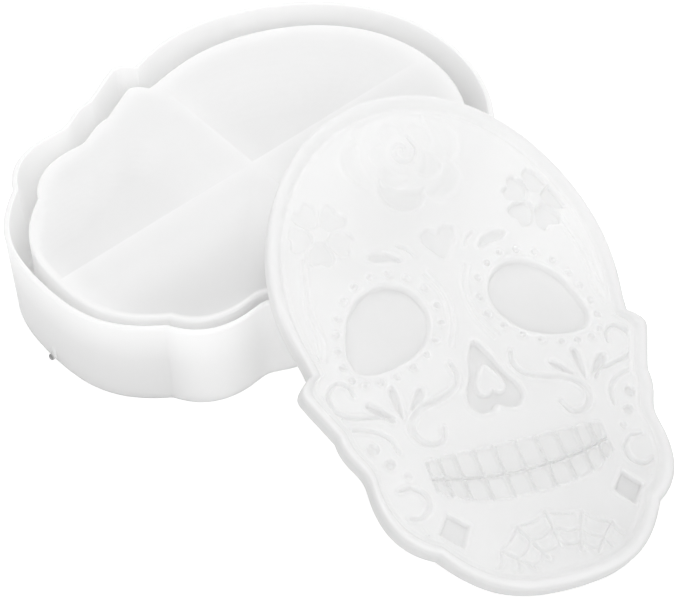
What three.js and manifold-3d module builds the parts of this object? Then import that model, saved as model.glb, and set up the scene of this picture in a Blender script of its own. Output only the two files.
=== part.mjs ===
// Skull box silicone mould: an open box mould with a hollow core, and a shallow lid mould leaning on it.
// Millimetres, +Z up. The origin is the middle of the box mould's skull plan, on the surface it stands on.
// The chin points to -Y and the crown to +Y.
import * as THREE from "three";
import { mergeVertices } from "three/addons/utils/BufferGeometryUtils.js";
import Module from "manifold-3d";

const wasm = await Module();
wasm.setup();

// Skull plan of the box mould's outer wall: one half, from the crown round to the chin.
const skull = {
  crownY: 80,
  crownRound: 38,
  widestX: 58.2,
  widestY: 19,
  widestRound: 25.5,
  templeX: 55.3,
  templeY: -3.6,
  cheekX: 60,
  cheekY: -8.6,
  creaseX: 52.9,
  creaseY: -23.2,
  waistX: 48.2,
  waistY: -38,
  jawX: 48.5,
  jawY: -43,
  jawRound: 13.5,
  notchX: 36.6,
  notchY: -62.9,
  chinRound: 17,
  chinY: -80,
};

// Box mould.
const boxHeight = 32.4;
const rimWidth = 1.8;
const baseThickness = 2.2;
const channelAtSide = 6.4;
const channelAtCrown = 5.5;
const channelAtChin = 4.7;
const coreDrop = 3.4;
const coreSkin = 3;
const coreWall = 3;
const ribWidth = 3;
const crossRibY = 0.4;
const wallLean = 1.2;
const coreLean = 0.4;
const gateRadius = 1;
const gateLength = 2;
const gateX = 1;
const gateZ = 1.1;

// Lid mould.
const lidSideInset = 5.2;
const lidJawInset = 3.9;
const lidCrownInset = 4.1;
const lidChinInset = 1.2;
const lidHeight = 5.6;
const lidRimWidth = 3.6;
const lidFloor = 3.6;

// How the lid mould leans on the box mould. It sags between its two rests, so that its underside curves up
// by lidSag at lidSagReach from its middle. The curve is made of flat strips.
const lidHeading = 157.9;
const lidRoll = 9.6;
const lidCentreX = 88.3;
const lidCentreY = 3.7;
const lidSag = 6;
const lidSagReach = 80;
const lidStrip = 16;

// The relief's mid line in the lid mould, and its depths sunk into the floor.
const reliefX = 0.6;
const deepRelief = 1.6;
const shallowRelief = 0.9;

// Clearances.
const seatGap = 0.3;
const ribGap = 0.3;

// How far cutters run past the surface that they cut.
const cutterRise = 2;

const siliconeColour = 0xededea;

// The skull's half plan as curves, each with its number of steps.
function skullCurves() {
  const s = skull;
  const cubic = (...v) => new THREE.CubicBezierCurve(
    new THREE.Vector2(v[0], v[1]),
    new THREE.Vector2(v[2], v[3]),
    new THREE.Vector2(v[4], v[5]),
    new THREE.Vector2(v[6], v[7]),
  );
  const templeSlope = (s.widestY - s.templeY) / 2;
  const cheekFall = (s.cheekY - s.creaseY) / 2;
  const cheekRun = (s.cheekX - s.creaseX) / 2;
  const jawFall = (s.creaseY - s.waistY) / 3;
  const notchRun = (s.jawX - s.notchX) / 3;
  const chinRun = (s.notchX - s.chinRound) / 2;
  const chinFall = (s.notchY - s.chinY) * 0.8;
  return [
    [cubic(0, s.crownY, s.crownRound, s.crownY, s.widestX, s.widestY + s.widestRound, s.widestX, s.widestY), 12],
    [cubic(s.widestX, s.widestY, s.widestX, s.widestY - templeSlope, s.templeX, s.templeY + templeSlope / 2,
      s.templeX, s.templeY), 4],
    [cubic(s.templeX, s.templeY, s.templeX, s.templeY, s.cheekX, (s.templeY + s.cheekY) / 2,
      s.cheekX, s.cheekY), 3],
    [cubic(s.cheekX, s.cheekY, s.cheekX, s.cheekY - cheekFall / 4, s.creaseX + cheekRun, s.creaseY + cheekFall,
      s.creaseX, s.creaseY), 3],
    [cubic(s.creaseX, s.creaseY, s.creaseX, s.creaseY - jawFall, s.waistX, s.waistY + jawFall,
      s.waistX, s.waistY), 3],
    [cubic(s.waistX, s.waistY, s.waistX, s.waistY, s.jawX, s.jawY, s.jawX, s.jawY), 1],
    [cubic(s.jawX, s.jawY, s.jawX, s.jawY - s.jawRound, s.notchX + notchRun, s.notchY + notchRun / 2,
      s.notchX, s.notchY), 6],
    [cubic(s.notchX, s.notchY, s.notchX - chinRun, s.notchY - chinFall, s.chinRound, s.chinY,
      0, s.chinY), 7],
  ];
}

// The whole skull plan as a closed list of points, from the crown round by +X.
function skullPlan() {
  const half = [];
  for (const [curve, steps] of skullCurves()) {
    for (let i = 0; i < steps; i += 1) {
      half.push(curve.getPoint(i / steps));
    }
  }
  const chin = new THREE.Vector2(0, skull.chinY);
  const other = half.slice(1).reverse().map((p) => new THREE.Vector2(-p.x, p.y));
  return [...half, chin, ...other];
}

// Draws a point of the skull plan in from the side, the jaw, the crown and the chin.
function drawIn(x, y, inset) {
  const share = THREE.MathUtils.clamp((skull.cheekY - y) / (skull.cheekY - skull.waistY), 0, 1);
  const sideScale = 1 - THREE.MathUtils.lerp(inset.side, inset.jaw, share) / skull.cheekX;
  const endScale = y > 0 ? 1 - inset.crown / skull.crownY : 1 + inset.chin / skull.chinY;
  return new THREE.Vector2(x * sideScale, y * endScale);
}

function insetPlan(inset) {
  return plan.map((p) => drawIn(p.x, p.y, inset));
}

function evenInset(width) {
  return { side: width, jaw: width, crown: width, chin: width };
}

function addInsets(a, b) {
  return { side: a.side + b.side, jaw: a.jaw + b.jaw, crown: a.crown + b.crown, chin: a.chin + b.chin };
}

function scaleInset(inset, share) {
  return { side: inset.side * share, jaw: inset.jaw * share, crown: inset.crown * share, chin: inset.chin * share };
}

const plan = skullPlan();
const none = evenInset(0);
const rimInner = evenInset(rimWidth);
const channel = { side: channelAtSide, jaw: channelAtSide, crown: channelAtCrown, chin: channelAtChin };
const coreOuter = addInsets(rimInner, channel);
const coreInner = addInsets(coreOuter, evenInset(coreWall));
const lidOuter = { side: lidSideInset, jaw: lidJawInset, crown: lidCrownInset, chin: lidChinInset };
const lidRimInner = addInsets(lidOuter, evenInset(lidRimWidth));
const lidFloorEdge = addInsets(lidRimInner, evenInset(seatGap));
const wallFoot = evenInset(wallLean);
const coreFoot = evenInset(-coreLean);
const coreTop = boxHeight - coreDrop;
const coreUnderside = coreTop - coreSkin;

// A plate or ring of the skull plan between two heights.
function skullSolid(outer, inner, low, high) {
  const shape = new THREE.Shape(insetPlan(outer));
  if (inner) {
    shape.holes.push(new THREE.Path(insetPlan(inner).reverse()));
  }
  const geometry = new THREE.ExtrudeGeometry(shape, { depth: high - low, bevelEnabled: false });
  return geometry.translate(0, 0, low);
}

// Leans upright walls: the full inset at the table, none at the top height.
function leanWalls(geometry, foot, top) {
  const position = geometry.attributes.position;
  for (let i = 0; i < position.count; i += 1) {
    const part = scaleInset(foot, 1 - position.getZ(i) / top);
    const p = drawIn(position.getX(i), position.getY(i), part);
    position.setXY(i, p.x, p.y);
  }
  return geometry;
}

function toSolid(geometry) {
  const bare = geometry.clone();
  bare.deleteAttribute("normal");
  bare.deleteAttribute("uv");
  const merged = mergeVertices(bare, 1e-4);
  return new wasm.Manifold(new wasm.Mesh({
    numProp: 3,
    vertProperties: new Float32Array(merged.attributes.position.array),
    triVerts: new Uint32Array(merged.index.array),
  }));
}

function toGeometry(solid) {
  const mesh = solid.getMesh();
  const geometry = new THREE.BufferGeometry();
  geometry.setAttribute("position", new THREE.BufferAttribute(new Float32Array(mesh.vertProperties), 3));
  geometry.setIndex(new THREE.BufferAttribute(new Uint32Array(mesh.triVerts), 1));
  geometry.computeVertexNormals();
  return geometry;
}

function silicone(name, geometry) {
  const material = new THREE.MeshStandardMaterial({ color: siliconeColour, roughness: 0.45, metalness: 0 });
  const mesh = new THREE.Mesh(geometry, material);
  mesh.name = name;
  return mesh;
}

// The flat ring that the walls stand on, which is also the floor of the casting channel.
function channelFloor() {
  const outer = evenInset(wallLean * (1 - baseThickness / boxHeight));
  const inner = addInsets(coreInner, evenInset(-coreLean * (1 - baseThickness / coreUnderside)));
  const ring = toSolid(skullSolid(outer, inner, 0, baseThickness));
  const stub = new THREE.CylinderGeometry(gateRadius, gateRadius, gateLength * 2, 12);
  stub.translate(gateX, skull.chinY + wallLean, gateZ);
  return toGeometry(ring.add(toSolid(stub)));
}

function outerWall() {
  return leanWalls(skullSolid(none, rimInner, baseThickness, boxHeight), wallFoot, boxHeight);
}

function coreSideWall() {
  return leanWalls(skullSolid(coreOuter, coreInner, baseThickness, coreUnderside), coreFoot, coreUnderside);
}

function coreTopSkin() {
  return skullSolid(coreOuter, null, coreUnderside, coreTop);
}

// How far out a closed plan reaches in +X between two values of Y.
function reachBetween(points, lowY, highY) {
  let reach = Infinity;
  const steps = 12;
  for (let i = 0; i <= steps; i += 1) {
    const y = lowY + ((highY - lowY) * i) / steps;
    for (let k = 0; k < points.length; k += 1) {
      const a = points[k];
      const b = points[(k + 1) % points.length];
      if (a.x >= 0 && b.x >= 0 && (a.y - y) * (b.y - y) <= 0 && a.y !== b.y) {
        const x = a.x + ((b.x - a.x) * (y - a.y)) / (b.y - a.y);
        reach = Math.min(reach, x);
      }
    }
  }
  return reach;
}

function longRib() {
  const crown = skull.crownY - coreInner.crown - ribGap;
  const chin = skull.chinY + coreInner.chin + ribGap;
  const length = crown - chin;
  return new THREE.BoxGeometry(ribWidth, length, coreUnderside)
    .translate(0, (crown + chin) / 2, coreUnderside / 2);
}

function crossRib(side) {
  const inner = insetPlan(coreInner);
  const end = reachBetween(inner, crossRibY - ribWidth / 2, crossRibY + ribWidth / 2) - ribGap;
  const start = ribWidth / 2 + ribGap;
  return new THREE.BoxGeometry(end - start, ribWidth, coreUnderside)
    .translate((side * (start + end)) / 2, crossRibY, coreUnderside / 2);
}

// Relief shapes on the lid mould, in its own plan, each for the +X half or the middle.
function closedSpline(points, steps) {
  const curve = new THREE.CatmullRomCurve3(points.map(([x, y]) => new THREE.Vector3(x, y, 0)), true, "centripetal");
  return curve.getPoints(steps).slice(0, -1).map((p) => new THREE.Vector2(p.x, p.y));
}

const eyeSocket = closedSpline([
  [10.4, 8.9], [13.5, 16], [19.9, 18.9], [27.1, 17.2], [32.7, 12.3], [36.2, 5.4],
  [37.5, -2], [35, -5.8], [28.7, -6], [20, -3.8], [13.3, 1.2],
], 32);

const noseOutline = closedSpline([
  [0, -3], [1.9, -6.2], [5.1, -12.2], [7.8, -17], [8.4, -21.4], [5.3, -24.3], [0, -22.8],
  [-5.3, -24.3], [-8.4, -21.4], [-7.8, -17], [-5.1, -12.2], [-1.9, -6.2],
], 30);

const noseIsland = closedSpline([
  [0, -8.6], [2.8, -12.4], [4.5, -16.4], [3.1, -19.2], [0, -18.8], [-3.1, -19.2], [-4.5, -16.4], [-2.8, -12.4],
], 16);

const foreheadHeart = closedSpline([
  [0, 24.7], [3.1, 27.8], [4.9, 31.3], [3.1, 33.8], [0, 32.6], [-3.1, 33.8], [-4.9, 31.3], [-3.1, 27.8],
], 20);

const browLeaf = closedSpline([[13.7, 25.1], [17.1, 28.2], [23.1, 28.6], [20.4, 25.9]], 12);

// Teardrops that fan out over the cheek, from tip to round end.
const drops = [
  { tip: [25.8, -18.8], end: [20.5, -14.6], width: 2.2 },
  { tip: [29.6, -21], end: [28.8, -12.4], width: 2.6 },
  { tip: [31.2, -20.2], end: [36.7, -15.2], width: 2.8 },
];

// Sunk scroll lines, each a centre line with its widest half-width.
const scrolls = [
  { line: [[9.4, -8.6], [9.4, -12.4], [13.3, -16.8], [19.5, -19], [25.2, -21.6], [27.7, -25.5], [25, -29.5],
    [20.5, -29.5], [18.2, -26.5]], half: 0.75 },
  { line: [[41.8, -12], [41.4, -8.8], [44.5, -7.4], [47.6, -10.2], [45.9, -14.8], [40.6, -17.6], [34.9, -19.4]],
    half: 0.55 },
  { line: [[46.5, -19.4], [41, -20.6], [36.7, -23], [34.2, -29.1]], half: 0.55 },
  { line: [[37.7, -40.9], [33.4, -41.1], [31.1, -44.8], [33.3, -48.8], [37.9, -48.4]], half: 0.55 },
  { line: [[6.1, 18.7], [3.7, 12.3], [3.6, 6.9], [5.7, 0.4]], half: 0.4 },
  { line: [[41.3, 25.1], [44.2, 15.8], [42.9, 7.9], [44.5, 0]], half: 0.45 },
];

// Cheek dots and the lozenge beside the chin.
const cheekDots = [
  { x: 40.5, y: -27.8, radius: 1.6 },
  { x: 37.6, y: -33.1, radius: 1.3 },
  { x: 34.5, y: -37.3, radius: 1 },
];
const lozenge = { x: 26.8, y: -55.7, halfWidth: 4.4, halfHeight: 5 };

// Flowers at the temples: round petals about an island left standing in the middle.
const flower = { x: 34.7, y: 37.4, reach: 6.8, petalRadius: 3, petals: 5, turn: 65 };

// Two rows of teeth drawn by sunk lines: the sides of the teeth, their ends and the bite line.
const teeth = {
  sides: [0, 6.6, 12.9, 18.9, 23.7, 27.5],
  lineHalf: 0.45,
  topMiddle: -34.1,
  topRise: 0.6,
  biteMiddle: -43.5,
  biteRise: 3.5,
  bottomMiddle: -50.7,
  bottomRise: 5.2,
};

function ribbon(line, half) {
  const curve = new THREE.CatmullRomCurve3(line.map(([x, y]) => new THREE.Vector3(x, y, 0)), false, "centripetal");
  const steps = line.length * 2;
  const left = [];
  const right = [];
  for (let i = 0; i <= steps; i += 1) {
    const t = i / steps;
    const p = curve.getPoint(t);
    const d = curve.getTangent(t);
    const width = half * (0.35 + 0.65 * Math.sin(Math.PI * t));
    left.push(new THREE.Vector2(p.x - d.y * width, p.y + d.x * width));
    right.push(new THREE.Vector2(p.x + d.y * width, p.y - d.x * width));
  }
  return [...left, ...right.reverse()];
}

function teardrop({ tip, end, width }) {
  const dx = end[0] - tip[0];
  const dy = end[1] - tip[1];
  const length = Math.hypot(dx, dy);
  const along = [dx / length, dy / length];
  const radius = width / 2;
  const points = [new THREE.Vector2(tip[0], tip[1])];
  const heading = Math.atan2(along[1], along[0]);
  const steps = 6;
  for (let i = 0; i <= steps; i += 1) {
    const angle = heading - Math.PI / 2 + (Math.PI * i) / steps;
    const x = end[0] - along[0] * radius + Math.cos(angle) * radius;
    const y = end[1] - along[1] * radius + Math.sin(angle) * radius;
    points.push(new THREE.Vector2(x, y));
  }
  return points;
}

function disc(x, y, radius, sides) {
  const points = [];
  for (let i = 0; i < sides; i += 1) {
    const angle = (2 * Math.PI * i) / sides;
    points.push(new THREE.Vector2(x + radius * Math.cos(angle), y + radius * Math.sin(angle)));
  }
  return points;
}

function petalOutlines() {
  const outlines = [];
  for (let i = 0; i < flower.petals; i += 1) {
    const angle = THREE.MathUtils.degToRad(flower.turn + (360 / flower.petals) * i);
    const x = flower.x + flower.reach * Math.cos(angle);
    const y = flower.y + flower.reach * Math.sin(angle);
    outlines.push(disc(x, y, flower.petalRadius, 10));
  }
  return outlines;
}

// The ends of the teeth and the bite line rise towards the cheeks as parabolas.
function toothHeight(x, middle, rise) {
  const reach = teeth.sides[teeth.sides.length - 1];
  return middle + rise * (x / reach) ** 2;
}

function toothOutlines() {
  const rows = [
    [teeth.topMiddle, teeth.topRise],
    [teeth.biteMiddle, teeth.biteRise],
    [teeth.bottomMiddle, teeth.bottomRise],
  ];
  const across = [-teeth.lineHalf, ...teeth.sides.slice(1)];
  const ends = rows.map(([middle, rise]) => across.map((x) => [x, toothHeight(x, middle, rise)]));
  const sides = teeth.sides.map((x) => rows.map(([middle, rise]) => [x, toothHeight(x, middle, rise)]));
  return [...ends, ...sides].map((line) => ribbon(line, teeth.lineHalf));
}

function lozengeOutline() {
  const { x, y, halfWidth, halfHeight } = lozenge;
  return [
    new THREE.Vector2(x + halfWidth, y),
    new THREE.Vector2(x, y + halfHeight),
    new THREE.Vector2(x - halfWidth, y),
    new THREE.Vector2(x, y - halfHeight),
  ];
}

function mirrored(points) {
  return points.map((p) => new THREE.Vector2(-p.x, p.y)).reverse();
}

function sink(floor, outline, depth, island) {
  const shape = new THREE.Shape(outline);
  if (island) {
    shape.holes.push(new THREE.Path([...island].reverse()));
  }
  const cutter = new THREE.ExtrudeGeometry(shape, { depth: depth + cutterRise, bevelEnabled: false });
  cutter.translate(reliefX, 0, lidFloor - depth);
  return floor.subtract(toSolid(cutter));
}

function lidFloorPlate() {
  let floor = toSolid(skullSolid(lidFloorEdge, null, 0, lidFloor));
  const deep = [eyeSocket, lozengeOutline(), ...petalOutlines()];
  const shallow = [
    browLeaf,
    ...drops.map(teardrop),
    ...scrolls.map(({ line, half }) => ribbon(line, half)),
    ...cheekDots.map(({ x, y, radius }) => disc(x, y, radius, 8)),
    ...toothOutlines(),
  ];
  for (const [outlines, depth] of [[deep, deepRelief], [shallow, shallowRelief]]) {
    for (const outline of outlines) {
      floor = sink(floor, outline, depth);
      floor = sink(floor, mirrored(outline), depth);
    }
  }
  floor = sink(floor, noseOutline, deepRelief, noseIsland);
  floor = sink(floor, foreheadHeart, shallowRelief);
  return sagAlong(floor);
}

function lidRim() {
  return sagAlong(toSolid(skullSolid(lidOuter, lidRimInner, 0, lidHeight)));
}

// How far the sag lifts the underside at y, on the flat strip that begins at start.
function stripRise(y, start) {
  const end = start + lidStrip;
  const startRise = lidSag * (start / lidSagReach) ** 2;
  const endRise = lidSag * (end / lidSagReach) ** 2;
  return THREE.MathUtils.mapLinear(y, start, end, startRise, endRise);
}

function lidRise(y) {
  return stripRise(y, Math.floor(y / lidStrip) * lidStrip);
}

// Cuts a flat body of the lid mould into strips, lifts each to the sag and joins them again.
function sagAlong(flat) {
  const reach = Math.ceil(Math.max(skull.crownY, -skull.chinY) / lidStrip) * lidStrip;
  const slab = new THREE.BoxGeometry(2 * skull.cheekX, lidStrip, 2 * (lidHeight + cutterRise));
  let sagging = null;
  for (let start = -reach; start < reach; start += lidStrip) {
    const cutter = toSolid(slab.clone().translate(0, start + lidStrip / 2, 0));
    const strip = toGeometry(flat.intersect(cutter));
    const position = strip.attributes.position;
    for (let i = 0; i < position.count; i += 1) {
      position.setZ(i, position.getZ(i) + stripRise(position.getY(i), start));
    }
    sagging = sagging ? sagging.add(toSolid(strip)) : toSolid(strip);
  }
  return toGeometry(sagging);
}

// The lid mould's axes when it leans at a slope: its crown up over the box mould's rim.
function lidBasis(slope) {
  const heading = THREE.MathUtils.degToRad(lidHeading);
  const roll = THREE.MathUtils.degToRad(lidRoll);
  const yAxis = new THREE.Vector3(
    Math.cos(slope) * Math.cos(heading),
    Math.cos(slope) * Math.sin(heading),
    Math.sin(slope),
  );
  const level = new THREE.Vector3(
    -Math.sin(slope) * Math.cos(heading),
    -Math.sin(slope) * Math.sin(heading),
    Math.cos(slope),
  );
  const side = new THREE.Vector3().crossVectors(yAxis, level);
  const zAxis = level.multiplyScalar(Math.cos(roll)).addScaledVector(side, Math.sin(roll));
  const xAxis = new THREE.Vector3().crossVectors(yAxis, zAxis);
  return [xAxis, yAxis, zAxis];
}

function isInside(points, x, y) {
  let inside = false;
  for (let i = 0; i < points.length; i += 1) {
    const a = points[i];
    const b = points[(i + 1) % points.length];
    if ((a.y > y) !== (b.y > y) && x < a.x + ((y - a.y) * (b.x - a.x)) / (b.y - a.y)) {
      inside = !inside;
    }
  }
  return inside;
}

// Stands the lid mould on its chin at a slope and says how far its underside clears the rim.
function lidStance(slope) {
  const [xAxis, yAxis, zAxis] = lidBasis(slope);
  const edge = insetPlan(lidOuter);
  const lowest = Math.min(...edge.map((p) => xAxis.z * p.x + yAxis.z * p.y + zAxis.z * lidRise(p.y)));
  const place = new THREE.Vector3(lidCentreX, lidCentreY, -lowest);
  let clearance = Infinity;
  for (const p of plan) {
    const fromLid = new THREE.Vector3(p.x, p.y, boxHeight).sub(place);
    const along = fromLid.dot(yAxis);
    if (isInside(edge, fromLid.dot(xAxis), along)) {
      clearance = Math.min(clearance, lidRise(along) - fromLid.dot(zAxis));
    }
  }
  return { place, axes: [xAxis, yAxis, zAxis], clearance };
}

// The slope at which the lid mould rests on the rim, found by halving.
function restingStance() {
  let low = THREE.MathUtils.degToRad(5);
  let high = THREE.MathUtils.degToRad(45);
  for (let i = 0; i < 40; i += 1) {
    const middle = (low + high) / 2;
    if (lidStance(middle).clearance < seatGap) {
      low = middle;
    } else {
      high = middle;
    }
  }
  return lidStance(high);
}

const boxMould = new THREE.Group();
boxMould.add(
  silicone("box_channel_floor", channelFloor()),
  silicone("box_outer_wall", outerWall()),
  silicone("box_core_wall", coreSideWall()),
  silicone("box_core_top", coreTopSkin()),
  silicone("box_long_rib", longRib()),
  silicone("box_cross_rib_right", crossRib(1)),
  silicone("box_cross_rib_left", crossRib(-1)),
);

const lidMould = new THREE.Group();
lidMould.add(
  silicone("lid_floor", lidFloorPlate()),
  silicone("lid_rim", lidRim()),
);
const stance = restingStance();
lidMould.quaternion.setFromRotationMatrix(new THREE.Matrix4().makeBasis(...stance.axes));
lidMould.position.copy(stance.place);

const skullBoxMould = new THREE.Group();
skullBoxMould.add(boxMould, lidMould);

export default skullBoxMould;
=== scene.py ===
import math
import bpy
import numpy as np
from mathutils import Matrix, Vector

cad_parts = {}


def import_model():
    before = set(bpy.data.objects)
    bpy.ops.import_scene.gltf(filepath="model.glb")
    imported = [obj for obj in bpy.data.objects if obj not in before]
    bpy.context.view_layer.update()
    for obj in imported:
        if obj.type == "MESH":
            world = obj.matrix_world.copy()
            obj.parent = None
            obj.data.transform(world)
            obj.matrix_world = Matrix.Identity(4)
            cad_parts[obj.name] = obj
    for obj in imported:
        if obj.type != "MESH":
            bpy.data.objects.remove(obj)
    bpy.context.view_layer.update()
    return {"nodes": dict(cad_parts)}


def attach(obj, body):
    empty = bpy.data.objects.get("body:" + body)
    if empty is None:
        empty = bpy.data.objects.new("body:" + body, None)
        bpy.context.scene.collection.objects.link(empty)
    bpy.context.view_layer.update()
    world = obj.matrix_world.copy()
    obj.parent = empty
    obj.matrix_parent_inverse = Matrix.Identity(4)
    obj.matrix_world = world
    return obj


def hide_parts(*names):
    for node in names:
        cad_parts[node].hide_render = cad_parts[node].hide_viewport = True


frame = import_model()

# Lengths are in millimetres here, and MM turns them into metres.
MM = 0.001
SMOOTH_ANGLE = 35
TINY = 1e-12

# Skull plan of the box mould's outer wall: the curves of its half, from crown to chin.
HALF_PLAN = [
    ((0, 80), (38, 80), (58.2, 44.5), (58.2, 19)),
    ((58.2, 19), (58.2, 7.7), (55.6, 2.0), (55.3, -3.6)),
    ((55.3, -3.6), (55.3, -3.6), (60, -6.1), (60, -8.6)),
    ((60, -8.6), (60, -10.4), (56.45, -15.9), (52.9, -23.2)),
    ((52.9, -23.2), (52.9, -30.5), (48.2, -33.07), (48.2, -38)),
    ((48.2, -38), (48.2, -38), (48.5, -43), (48.5, -43)),
    ((48.5, -43), (48.5, -56.5), (40.57, -60.92), (36.6, -62.9)),
    ((36.6, -62.9), (26.8, -76.58), (17, -80), (0, -80)),
]
HALF_WIDTH = 60.0
HALF_LENGTH = 80.0
CHEEK_Y = -8.6
TEMPLE_Y = -3.6
WAIST_Y = -38.0

# How finely the plan is worked out, and how its corners are eased.
CURVE_STEPS = 80
EVEN_POINTS = 1600
EASE = 0.12
EASE_REACH = 24
EASE_STEP = 0.29
WALL_POINTS = 800
HOLLOW_POINTS = 400

# Box mould heights and insets. An inset is drawn in from the side, the jaw, the crown and the chin.
BOX_HEIGHT = 32.4
RIM = (1.8, 1.8, 1.8, 1.8)
CHANNEL = (6.4, 6.4, 5.5, 4.7)
CORE_TOP = 29.0
CORE_UNDER = 26.0
BASE = 2.2
WALL = 3.0
LEAN = 1.2
OUTER_LEAN = (0.9, 0.2, 0.9, 1.0)
CORE_LEAN = 0.4

# Roundings of the box mould, and the heights of the rings between them.
FOOT = 0.3
RIM_OUTER = 0.8
RIM_INNER = 0.45
FILLET = 1.4
CORE_EDGE = 0.9
OUTER_HEIGHTS = (6, 12, 18, 24, 29)
INNER_HEIGHTS = (27, 21, 15, 9)
CORE_HEIGHTS = (9, 15, 21)
CORE_TOP_RINGS = 48

# Where a ring counts as the wall's outer face, and where it counts as the core.
OUTER_FACE_END = RIM[0] - 0.3
CHANNEL_MIDDLE = RIM[0] + CHANNEL[0] / 2

# Ribs under the core, and the hollow quarters between them with their draft and rounded top.
RIB_HALF = 1.5
CROSS_RIB_Y = 0.4
POCKET_POINTS = 320
POCKET_HEIGHTS = (-1.0, 8.0, 16.0, 24.0)
POCKET_DRAFT = 0.008
POCKET_ROUND = 2.0
POCKET_SHRINK = 0.06

# Stub of the pouring gate low on the chin end.
GATE_RADIUS = 1.0
GATE_X = 1.0
GATE_Z = 1.9
GATE_REACH = 0.7
GATE_ROOT = 3.0
GATE_BEVEL = 0.3
GATE_STEPS = 24
GATE_SLACK = 0.05
GATE_END = 0.6

# This specimen's bends: its foot is shifted, and its left wall flexes outwards above the temple.
FOOT_SHIFT = (-0.8, 0.0)
FLEX = (-1.6, 1.3)
FLEX_AT = (-56.0, 9.0)
FLEX_WIDTH = 27.0
FLEX_POWER = 1.5
FLEX_FADE = 9.0
FLEX_AT_TEMPLE = 0.4

# Painted shade on the box mould, from 0 for its plain colour to 1 for the painted shade's grey, and past 1 for the
# stub's dark painted end.
OUTER_SHADE_TOP = 0.4
OUTER_SHADE_LOW = 0.68
OUTER_SHADE_BELOW_RIM = 2.0
OUTER_SHADE_SPAN = 14.0
OUTER_SHADE_RIGHT = 0.15
RIGHT_FROM_X = 36.0
RIGHT_SPAN = 15.0
INNER_SHADE = 0.22
INNER_FROM = 20.0
INNER_SPAN = 60.0
STUB_PAINTED_SHADE = 1.8

# Painted shade over the hollow quarters, fixed for one side of view: where it looks for walls behind, the ribs'
# painted light bands, and how dark it gets.
BEHIND = (-0.746, 0.666)
BEHIND_REACHES = np.linspace(1.5, 37.5, 13)
LONG_BAND_START = (-1.0, -0.2)
LONG_BAND_FADE = (36.0, -4.0)
CROSS_BAND_START = (0.3, -0.5)
CROSS_BAND_FADE = (-36.0, 4.0)
HOLLOW_SHADE = 0.35
HOLLOW_SHADE_MORE = 0.32
HOLLOW_SHADE_MORE_X = (0.0, 25.0)

# Lid mould, its sag between its two rests, and how it leans.
LID_OUTER = (5.2, 3.9, 4.1, 1.2)
LID_HEIGHT = 5.6
LID_FLOOR = 3.6
LID_FOOT = 0.9
LID_CREST = 1.3
LID_SIDE_HEIGHTS = (2.2, 3.4)
LID_SAG = 6.0
LID_HEADING = 157.9
LID_ROLL = 9.6
LID_SLOPE = 17.693
LID_PLACE = (88.3, 3.7, 21.281)
LID_POINTS = 1408
LID_RINGS = 230
LID_UNDER_RINGS = (0.3, 0.7)
LID_SMOOTH_ANGLE = 60

# Rings inside the lid mould's rim: how far in from its edge, and how high from its crest or over its floor.
LID_CREST_ROWS = [(1.7, -0.02), (2.2, -0.12), (2.7, -0.4), (3.1, -0.85), (3.4, -1.3), (3.65, -1.65)]
LID_FLOOR_ROWS = [(3.9, 0.1), (4.2, 0.04), (4.5, 0.15), (4.9, 0.28), (5.3, 0.15), (5.7, 0.0)]

# A ring with points closer than this share of their first spacing keeps every other one.
THIN_OUT = 0.55
FEWEST_POINTS = 40

# Relief: how far it is moved right, and the shape of the raised edge round each recess.
RELIEF_X = 0.6
RELIEF_MARGIN = 3
RELIEF_FADE = 0.5
LIP_PLACE = 0.9
LIP_SPREAD = 0.6
STROKE_END = 0.45
STROKE_SWELL = 0.55

# Painted shade on the lid mould: on its rim's outer face, in its recesses and towards its chin.
RELIEF_SHADE = 0.06
LID_LOW_SHADE = 0.17
LID_LOW_FROM_Y = 28.0
LID_LOW_SPAN = 32.0
LID_EDGE_SHADE = 0.5
LID_EDGE_BAND = 1.2
LID_EDGE_FADE = 0.8
LID_EDGE_AT_CROWN = 0.2

# Silicone: its clear and cloudy colours, its scattering depth in metres, and its surface.
BOX_COLOURS = (0.992, 0.986)
LID_COLOURS = (0.985, 0.98)
WARMTH = 0.001
# Grey that painted shade darkens the silicone towards.
PAINTED_SHADE_GREY = (0.60, 0.60, 0.60, 1)
SCATTER = 0.006
WALL_PATH = 0.5
SILICONE_IOR = 1.41
SPECULAR = 0.4
LID_TRANSMISSION = 0.2
CLOUD_SCALE = 28.0
GRAIN_SCALE = 900.0
GRAIN_STRENGTH = 0.12
GRAIN_HEIGHT = 0.00015
GLOSS = 0.42
GLOSS_CHANGE = 0.10

# Worktop, world and light, in metres.
WORKTOP_HALF = 4
WORKTOP_DROP = 0.00005
WORKTOP_PAINT = (0.93, 0.93, 0.93, 1)
WORKTOP_LIFT = 0.4
WORLD_LIGHT = 0.75
WHITE = (1, 1, 1, 1)
# Light reaches the narrow channel between the pale walls only after many bounces.
MAX_BOUNCES = 24
DIFFUSE_BOUNCES = 16

# Camera fitted to the photo: its focal length in pixels, its place and the way it looks.
PHOTO_WIDTH = 679
CAMERA_FOCAL = 1938.2
CAMERA_SENSOR = 36
CAMERA_PLACE = (0.3299, -0.2594, 0.4442)
CAMERA_FORWARD = (-0.4916, 0.4383, -0.7525)


def bezier(a, b, c, d, steps):
    """Points of a cubic curve, without its last one."""
    t = np.linspace(0, 1, steps, endpoint=False)[:, None]
    a, b, c, d = (np.array(p, float) for p in (a, b, c, d))
    return a * (1 - t) ** 3 + 3 * b * t * (1 - t) ** 2 + 3 * c * t**2 * (1 - t) + d * t**3


def resample(points, count):
    """A closed outline with its points evenly spaced."""
    ring = np.vstack([points, points[:1]])
    step = np.hypot(*np.diff(ring, axis=0).T)
    run = np.concatenate([[0], np.cumsum(step)])
    at = np.linspace(0, run[-1], count, endpoint=False)
    return np.stack([np.interp(at, run, ring[:, k]) for k in range(2)], axis=1)


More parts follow.
